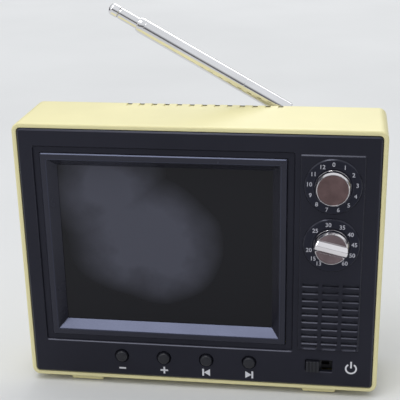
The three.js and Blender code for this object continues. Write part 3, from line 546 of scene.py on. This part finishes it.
def make_fascia():
    """The front plate with a groove round the screen, the raised control panel, and all its openings."""
    gap = WALL + 0.3
    half_w, half_h = WIDTH / 2 - gap, HEIGHT / 2 - gap
    inside = LAND + FUNNEL + 0.2
    groove = LAND + FUNNEL + GROOVE
    groove_floor = FRONT + GROOVE_DEPTH
    edge = [(FASCIA_BACK, 0), (FRONT + 0.66, 0), (FRONT + 0.6, 0.05), (FRONT + 0.05, 0.78), (FRONT, 0.88)]
    rings = [[(x, y, z) for x, z in rounded(half_w - inset, half_h - inset, 1.7 - inset, 0, HEIGHT / 2)]
             for y, inset in edge]
    rings += [
        screen_ring(FRONT, groove + 0.75, 1.2), screen_ring(FRONT + 0.06, groove + 0.66, 1.1),
        screen_ring(FRONT + 0.7, groove + 0.1, 0.7), screen_ring(groove_floor, groove, 0.6),
        screen_ring(groove_floor, inside, 0.6), screen_ring(FASCIA_BACK, inside, 0.6),
    ]
    plate = mesh_object("fascia", loft(rings, closed=True))
    panel_edge = [(PANEL_FRONT, 0.68), (PANEL_FRONT + 0.04, 0.6), (FRONT - 0.04, 0.03), (1.5, 0)]
    boolean(plate, slab(PANEL_HALF_W, PANEL_HALF_H, 0.8, panel_edge, PANEL_X, PANEL_Z), "UNION")
    boolean(plate, slab(15.5, 18.55, 0.3, [(0.2, 0), (BEHIND, 0)], GRILLE_X, GRILLE_Z, 3))
    boolean(plate, grille_cutters())
    holes = [drum(3.9, AHEAD, BEHIND, DIAL_X, z, FACETS["hole"]) for z in (CHANNEL_Z, TUNING_Z)]
    button_hole = [(0, AHEAD), (4.1, AHEAD), (4.1, FRONT), (3.95, FRONT + 0.15), (3.65, FRONT + 0.3),
                   (3.65, BEHIND), (0, BEHIND)]
    holes += [turned(button_hole, x, BUTTON_Z, FACETS["button_hole"]) for x in BUTTON_X]
    slider_window = [(AHEAD, -0.3), (FRONT, -0.3), (FRONT + 0.3, 0), (BEHIND, 0)]
    holes.append(slab(7.1, 3.4, 0.4, slider_window, SLIDER_WINDOW_X, SLIDER_Z, 4))
    boolean(plate, merged(*holes))
    finished(plate, black, "set", "front_fascia", slot="fascia_black", accent=edge_black)


# ---------- screen ----------
def make_surround():
    """A flat land round the screen, and a funnel from it back to the window."""
    land = LAND + FUNNEL
    rear = FRONT + FUNNEL_DEPTH + 0.2
    rings = [
        screen_ring(rear, land, 0.8), screen_ring(FRONT + 0.65, land, 0.8),
        screen_ring(FRONT + 0.05, land - 0.5, 0.6), screen_ring(FRONT, land - 0.62, 0.5),
        screen_ring(FRONT, FUNNEL + 0.35, 0.5), screen_ring(FRONT + 0.1, FUNNEL + 0.05, 0.4),
        screen_ring(FRONT + 0.4, FUNNEL - 0.3, 0.3), screen_ring(FRONT + FUNNEL_DEPTH, 0.15, 0.2),
        screen_ring(rear - 0.05, 0, 0.2), screen_ring(rear, 0, 0.2),
    ]
    surround = mesh_object("surround", loft(rings, closed=True))
    finished(surround, trim, "set", "screen_surround", slot="fascia_black", accent=edge_black,
             where=front_or_side)


def make_lens():
    """The flat front window."""
    window = slab(HALF_W + 5, HALF_H + 5, 1, [*front_edge(4.8, 0.2, 3), (6, 0)], SCREEN_X, SCREEN_Z)
    finished(mesh_object("window", window), lens, "set", "screen_lens", slot="lens")


# ---------- dials and printed marks ----------
def make_dial(name, z):
    """A dial plate with a raised ring near its middle and a chamfered rim."""
    profile = [(3.9, DIAL_FRONT), (9.55, DIAL_FRONT), (9.7, DIAL_FRONT - 0.14), (9.95, DIAL_FRONT - 0.16),
               (10.25, DIAL_FRONT), (13.85, DIAL_FRONT), (14.0, DIAL_FRONT + 0.06), (14.54, DIAL_FRONT + 0.62),
               (14.6, DIAL_FRONT + 0.8), (3.9, DIAL_FRONT + 0.8)]
    plate = mesh_object(f"{name}_dial", turned(profile, DIAL_X, z, FACETS["dial"], closed=True))
    finished(plate, dial_black, "set", f"{name}_dial_plate", slot="dial", accent=edge_black)


def text_mesh(string, x, z):
    """One numeral as a thin solid on a dial, facing the front, with its middle at x and z."""
    curve = bpy.data.curves.new("text", "FONT")
    curve.body, curve.size, curve.extrude, curve.offset = string, NUMERAL_SIZE, 0.03, 0.035
    curve.align_x, curve.align_y, curve.resolution_u = "CENTER", "CENTER", 3
    text = add_to_scene("text", curve)
    mesh = bpy.data.meshes.new_from_object(text.evaluated_get(bpy.context.evaluated_depsgraph_get()))
    bpy.data.objects.remove(text)
    bm = bmesh.new()
    bm.from_mesh(mesh)
    bmesh.ops.remove_doubles(bm, verts=bm.verts, dist=1e-4)
    bm.transform(Matrix.Translation((x, DIAL_FRONT - 0.02, z)) @ Matrix.Rotation(math.pi / 2, 4, "X"))
    return bm


def make_numerals(name, marks, radius, z):
    """Upright numerals round a dial, each at its angle in degrees clockwise from the top."""
    parts = []
    for string, degrees in marks:
        a = math.radians(degrees)
        parts.append(text_mesh(string, DIAL_X + radius * math.sin(a), z + radius * math.cos(a)))
    finished(mesh_object(name, merged(*parts)), print_grey, "set")


def triangle(x, z, size, sign):
    """A printed triangle that points along +X or -X."""
    base, tip, half_h = x - sign * size / 2, x + sign * size / 2, size * 0.62
    return prism([(base, z - half_h), (tip, z), (base, z + half_h)], *PRINT)


def bar(x, z, half_w, half_h):
    """A printed bar."""
    return slab(half_w, half_h, 0.15, [(y, 0) for y in PRINT], x, z, 3)


def make_button_symbols():
    """Minus, plus, back and forward, each under its button."""
    minus, plus, back, forward = BUTTON_X
    thin, arm = 0.48, 2.1
    cross = [(-thin, -arm), (thin, -arm), (thin, -thin), (arm, -thin), (arm, thin), (thin, thin), (thin, arm),
             (-thin, arm), (-thin, thin), (-arm, thin), (-arm, -thin), (-thin, -thin)]
    parts = [
        bar(minus, SYMBOL_Z, 1.9, 0.5),
        prism([(plus + px, SYMBOL_Z + pz) for px, pz in cross], *PRINT),
        bar(back - 1.8, SYMBOL_Z, 0.5, 2.15), triangle(back + 0.3, SYMBOL_Z, 3.4, -1),
        bar(forward + 1.8, SYMBOL_Z, 0.5, 2.15), triangle(forward - 0.3, SYMBOL_Z, 3.4, 1),
    ]
    finished(mesh_object("button_symbols", merged(*parts)), print_white, "set")


def make_power_symbol():
    """A ring with a gap at its top, and a bar that stands in the gap."""
    half_gap, steps, outside, inside = 32, 40, 3.2, 2.3
    angles = [math.radians(90 + half_gap + (360 - 2 * half_gap) * i / steps) for i in range(steps + 1)]
    ring = [(POWER_X + outside * math.cos(a), POWER_Z + outside * math.sin(a)) for a in angles]
    ring += [(POWER_X + inside * math.cos(a), POWER_Z + inside * math.sin(a)) for a in reversed(angles)]
    mark = merged(prism(ring, *PRINT), bar(POWER_X, POWER_Z + inside, 0.45, 2))
    finished(mesh_object("power_symbol", mark), print_white, "set")


# ---------- buttons and slider ----------
def make_button(name, x):
    """A domed push button with its flange and stem."""
    profile = [(0, -2.55), (1.8, -2.5), (2.5, -2.35), (2.95, -2.05), (3.2, -1.6), (3.3, -1.1), (3.3, 2.5),
               (4.5, 2.5), (4.5, 3.4), (1.7, 3.4), (1.7, 4.2), (0, 4.2)]
    cap = mesh_object(f"{name}_button", turned(profile, x, BUTTON_Z, FACETS["button"]))
    finished(cap, button_black, f"button_{name}", f"button_{name}", slot="button_black")


def make_slider():
    """The power slider: three finger grooves in its face, and a flange and a stem behind it."""
    face = slab(3.5, 3.1, 0.4, [*front_edge(-2.4, 0.35, 3), (2.6, 0)], SLIDER_X, SLIDER_Z, 4)
    slider = mesh_object("slider", face)
    grooves = [slab(0.4, 6, 0.1, [(-3, 0), (-2.1, 0), (-1.9, 0.15)], SLIDER_X + offset, SLIDER_Z, 2)
               for offset in (-1.8, 0, 1.8)]
    boolean(slider, merged(*grooves))
    boolean(slider, slab(4.6, 4.8, 0.3, [(2.5, 0), (3.4, 0)], SLIDER_X, SLIDER_Z, 3), "UNION")
    boolean(slider, slab(1, 1.2, 0.2, [(3, 0), (6.6, 0)], SLIDER_X, SLIDER_Z, 3), "UNION")
    finished(slider, button_black, "power_slider", "power_slider", slot="button_black")


# ---------- knobs ----------
GRIP_FRAME = Matrix.Translation((DIAL_X, 0, TUNING_Z)) @ Matrix.Rotation(GRIP_TURN, 4, "Y")


def knob_mesh(z):
    """A thin lip round the disc, a bright cone behind it, a short straight side, and a hollow with a hub."""
    f, recess = KNOB_FRONT, KNOB_FRONT + 0.5
    profile = [(0, recess), (7.8, recess), (7.83, f + 0.14), (7.91, f + 0.03), (8.0, f), (8.16, f + 0.05),
               (8.82, f + 1.1), (8.9, f + 1.3), (8.92, f + 1.6), (8.92, -3.05), (9.0, -2.95),
               (9.0, KNOB_BACK - 0.05), (8.9, KNOB_BACK), (6.8, KNOB_BACK), (6.8, -3.9), (3.1, -3.9),
               (3.1, -5.5), (0, -5.5)]
    return turned(profile, DIAL_X, z, FACETS["dial"])


def disc_mesh(z):
    """Very slightly dished, so that it shades like spun metal."""
    face, dish, steps = KNOB_FRONT + 0.2, 0.16, 8
    profile = [(DISC_RADIUS * i / steps, face + dish * (1 - (i / steps) ** 2)) for i in range(steps + 1)]
    profile += [(DISC_RADIUS, face + 0.3), (0, face + 0.3)]
    return turned(profile, DIAL_X, z, FACETS["dial"])


def grip_bar():
    """A finger bar with sloping flanks, a narrow face and rounded ends."""
    # Each section is (y, half its width, half its length).
    sections = ((-6.3, 3.1, 8.75), (-7.0, 3.05, 8.7), (-7.25, 2.9, 8.6), (-8.85, 1.4, 8.5), (-9.1, 1.15, 8.35),
                (-9.2, 0.85, 8.1))
    rings = [[(x, y, z) for x, z in rounded(half_length, half_w, half_w * 0.6, 0, 0)]
             for y, half_w, half_length in sections]
    bm = loft(rings)
    bm.transform(GRIP_FRAME)
    return bm


def make_channel_knob():
    """The plain knob and its disc."""
    body = mesh_object("channel_knob_body", knob_mesh(CHANNEL_Z))
    finished(body, chrome, "channel_knob", "channel_knob", slot="chrome")
    disc = mesh_object("channel_disc", disc_mesh(CHANNEL_Z))
    finished(disc, disc_channel, "channel_knob", "channel_knob_disc", slot="spun_disc")


def make_tuning_knob():
    """The knob with a finger bar, which parts its disc in two."""
    body = mesh_object("tuning_knob_body", knob_mesh(TUNING_Z))
    boolean(body, grip_bar(), "UNION")
    finished(body, chrome, "tuning_knob", "tuning_knob", slot="chrome")
    for name, sign in (("upper", 1), ("lower", -1)):
        half = mesh_object(f"tuning_disc_{name}_half", disc_mesh(TUNING_Z))
        keep = slab(20, 10, 0.1, [(-12, 0), (0, 0)], 0, sign * 13.4, 2)
        keep.transform(GRIP_FRAME)
        boolean(half, keep, "INTERSECT")
        finished(half, disc_tuning, "tuning_knob", f"tuning_disc_{name}", slot="spun_disc")


# ---------- antenna ----------
# Each piece is made in the antenna's own frame, with the tilt pin at its origin and the antenna along +Y.
def antenna_matrix():
    """From the antenna's own frame to its place at rest."""
    along = Vector((-math.cos(ANTENNA_ANGLE), 0, math.sin(ANTENNA_ANGLE)))
    back = Vector((0, 1, 0))
    side = along.cross(back)
    turn = Matrix((side, along, back)).transposed().to_4x4()
    return Matrix.Translation(ANTENNA) @ turn


def antenna_piece(name, body, node, profile, closed=False):
    """A turned piece of the antenna, from a profile of (radius, distance from the tilt pin)."""
    bm = turned(profile, 0, 0, FACETS["tube"], closed)
    bm.transform(antenna_matrix())
    finished(mesh_object(name, bm), tube_chrome, body, node, slot="chrome")


def lug(half_w, near, x0, x1):
    """A flat plate with one round end about the tilt pin."""
    arc = [math.radians(15 * i) for i in range(13)]
    outline = [(half_w * math.cos(a), half_w * math.sin(a)) for a in arc]
    outline += [(-half_w, near), (half_w, near)]
    return prism_along_x(outline, x0, x1)


def make_swivel():
    """A fork for the tilt pin, with softened edges, on a round base."""
    fork = mesh_object("fork", merged(lug(2.8, -3.7, 1.6, 3.1), lug(2.8, -3.7, -3.1, -1.6)))
    bevel = fork.modifiers.new("bevel", "BEVEL")
    bevel.width, bevel.segments, bevel.limit_method, bevel.angle_limit = 0.25, 3, "ANGLE", math.radians(40)
    bake_modifiers(fork)
    fork.data.transform(antenna_matrix())
    boolean(fork, turned(SWIVEL_BASE, ANTENNA.x, ANTENNA.z, FACETS["swivel"]), "UNION")
    finished(fork, chrome, "antenna_swivel", "antenna_swivel", slot="chrome")


def make_outer_tube():
    """The outer tube, with two fine grooves round it, and the tongue that sits in the fork."""
    r, bore, end, groove = 4.3, 4.05, 100.5, 0.14
    profile = [(0, 8), (3.2, 8), (4, 8.2), (r, 8.8), (r, 35.6), (r - groove, 35.85), (r - groove, 36.15),
               (r, 36.4), (r, 97.2), (r - 0.12, 97.4), (r - 0.12, 97.6), (r, 97.8), (r, 99.4), (r - 0.12, 100),
               (bore + 0.03, end), (bore, end - 0.3), (bore, 12.5), (0, 12.5)]
    tube = mesh_object("outer_tube", turned(profile, 0, 0, FACETS["tube"]))
    tongue = lug(2.7, -10, -1.45, 1.45)
    tongue.transform(Matrix.Rotation(math.pi / 2, 4, "X"))
    boolean(tube, tongue, "UNION")
    tube.data.transform(antenna_matrix())
    finished(tube, tube_chrome, "antenna_outer", "antenna_section_1", slot="chrome")


def make_inner_tubes():
    """The two inner tubes, the rod and its tip."""
    for name, r, bore, start, end, body, node in (
        ("second_tube", 3.9, 3.4, 14, 101.4, "antenna_second", "antenna_section_2"),
        ("third_tube", 3.15, 2.75, 24, 113, "antenna_third", "antenna_section_3"),
    ):
        profile = [(bore, start), (r, start), (r, end - 0.9), (r - 0.06, end - 0.5), (r - 0.16, end - 0.15),
                   (bore + 0.03, end), (bore, end - 0.3)]
        antenna_piece(name, body, node, profile, closed=True)
    rod = [(0, 34), (2.2, 34), (2.4, 34.2), (2.4, 115.9), (2.3, 116), (0, 116)]
    antenna_piece("inner_rod", "antenna_rod", "antenna_section_4", rod)
    r, start, bore = 3.3, 113.2, 2.6
    dome = [math.radians(15 * i) for i in range(6)]
    tip = [(bore, start), (r - 0.15, start), (r, start + 0.15)]
    tip += [(r * math.cos(a), 116.7 + 2.2 * math.sin(a)) for a in dome]
    tip += [(0, 118.9), (0, 116.3), (bore, 116.3)]
    antenna_piece("tip_cap", "antenna_rod", "antenna_tip", tip)


# ---------- floor, lights, camera ----------
def make_floor():
    """A plain pale floor."""
    bm = bmesh.new()
    bmesh.ops.create_grid(bm, x_segments=1, y_segments=1, size=6)
    floor = mesh_object("floor", bm)
    mat, shader = principled("floor_paint", (0.64, 0.64, 0.64), 0.9)
    vary_color(mat, shader, noise(mat, 3), (0.62, 0.62, 0.62), (0.66, 0.66, 0.66))
    floor.data.materials.append(mat)


def make_sky():
    """A sky that is dark below the horizon and brightens upwards."""
    sky = bpy.data.worlds.new("studio")
    sky.use_nodes = True
    background = sky.node_tree.nodes["Background"]
    coords = add_node(sky, "ShaderNodeTexCoord")
    axes = add_node(sky, "ShaderNodeSeparateXYZ", {"Vector": coords.outputs["Generated"]})
    ramp = add_node(sky, "ShaderNodeValToRGB", {"Fac": axes.outputs["Z"]})
    set_ramp(ramp, 0.16, (0.14, 0.14, 0.15), 0.5, (0.94, 0.97, 1))
    sky.node_tree.links.new(ramp.outputs["Color"], background.inputs["Color"])
    background.inputs["Strength"].default_value = 0.9
    bpy.context.scene.world = sky


def area_light(name, place, target, size, power):
    """A square light that faces its target."""
    light = bpy.data.lights.new(name, "AREA")
    light.size, light.energy = size, power
    obj = add_to_scene(name, light)
    obj.location = place
    obj.rotation_mode = "QUATERNION"
    obj.rotation_quaternion = (Vector(target) - Vector(place)).to_track_quat("-Z", "Y")


def make_lights():
    """A broad soft light above and in front, a weak one at the left, and one that whitens the floor behind."""
    area_light("overhead", (-0.32, -0.5, 1.75), (0, -0.02, 0.08), 0.78, 8.5)
    area_light("left_fill", (-1.6, -1.2, 0.9), (0, 0, 0.08), 1.2, 5)
    area_light("back_wash", (0.2, 3.2, 2.2), (0, 2.6, 0), 2.5, 45)


def make_camera():
    """The camera at the photograph's viewing angle."""
    data = bpy.data.cameras.new("camera")
    data.sensor_width, data.lens = 36, 89.1
    data.shift_x, data.shift_y = -0.0375, 0.0625
    data.clip_start, data.clip_end = 0.01, 50
    camera = add_to_scene("camera", data)
    camera.location = ORIGIN + Vector((73.4, -468.5, 278.0)) / 1000
    camera.rotation_euler = [math.radians(a) for a in (68.669, 0.759, 7.516)]
    bpy.context.scene.camera = camera


# ---------- the whole set ----------
CHANNEL_MARKS = [(str(i), i * 360 / 13) for i in range(13)]
TUNING_MARKS = [("13", 212.5), ("15", 232), ("20", 257.5), ("25", 314.4), ("30", 351), ("35", 26.7),
                ("40", 55.1), ("45", 84.6), ("50", 113.9), ("60", 142.7)]

make_housing()
make_fascia()
make_surround()
make_lens()
make_dial("channel", CHANNEL_Z)
make_dial("tuning", TUNING_Z)
make_numerals("channel_numerals", CHANNEL_MARKS, 12.0, CHANNEL_Z - 0.3)
make_numerals("tuning_numerals", TUNING_MARKS, 11.6, TUNING_Z - 0.2)
make_button_symbols()
make_power_symbol()
for button_name, button_x in zip(BUTTON_NAMES, BUTTON_X):
    make_button(button_name, button_x)
make_slider()
make_channel_knob()
make_tuning_knob()
make_swivel()
make_outer_tube()
make_inner_tubes()
make_floor()
make_sky()
make_lights()
make_camera()
bpy.context.scene.view_settings.view_transform = "Standard"
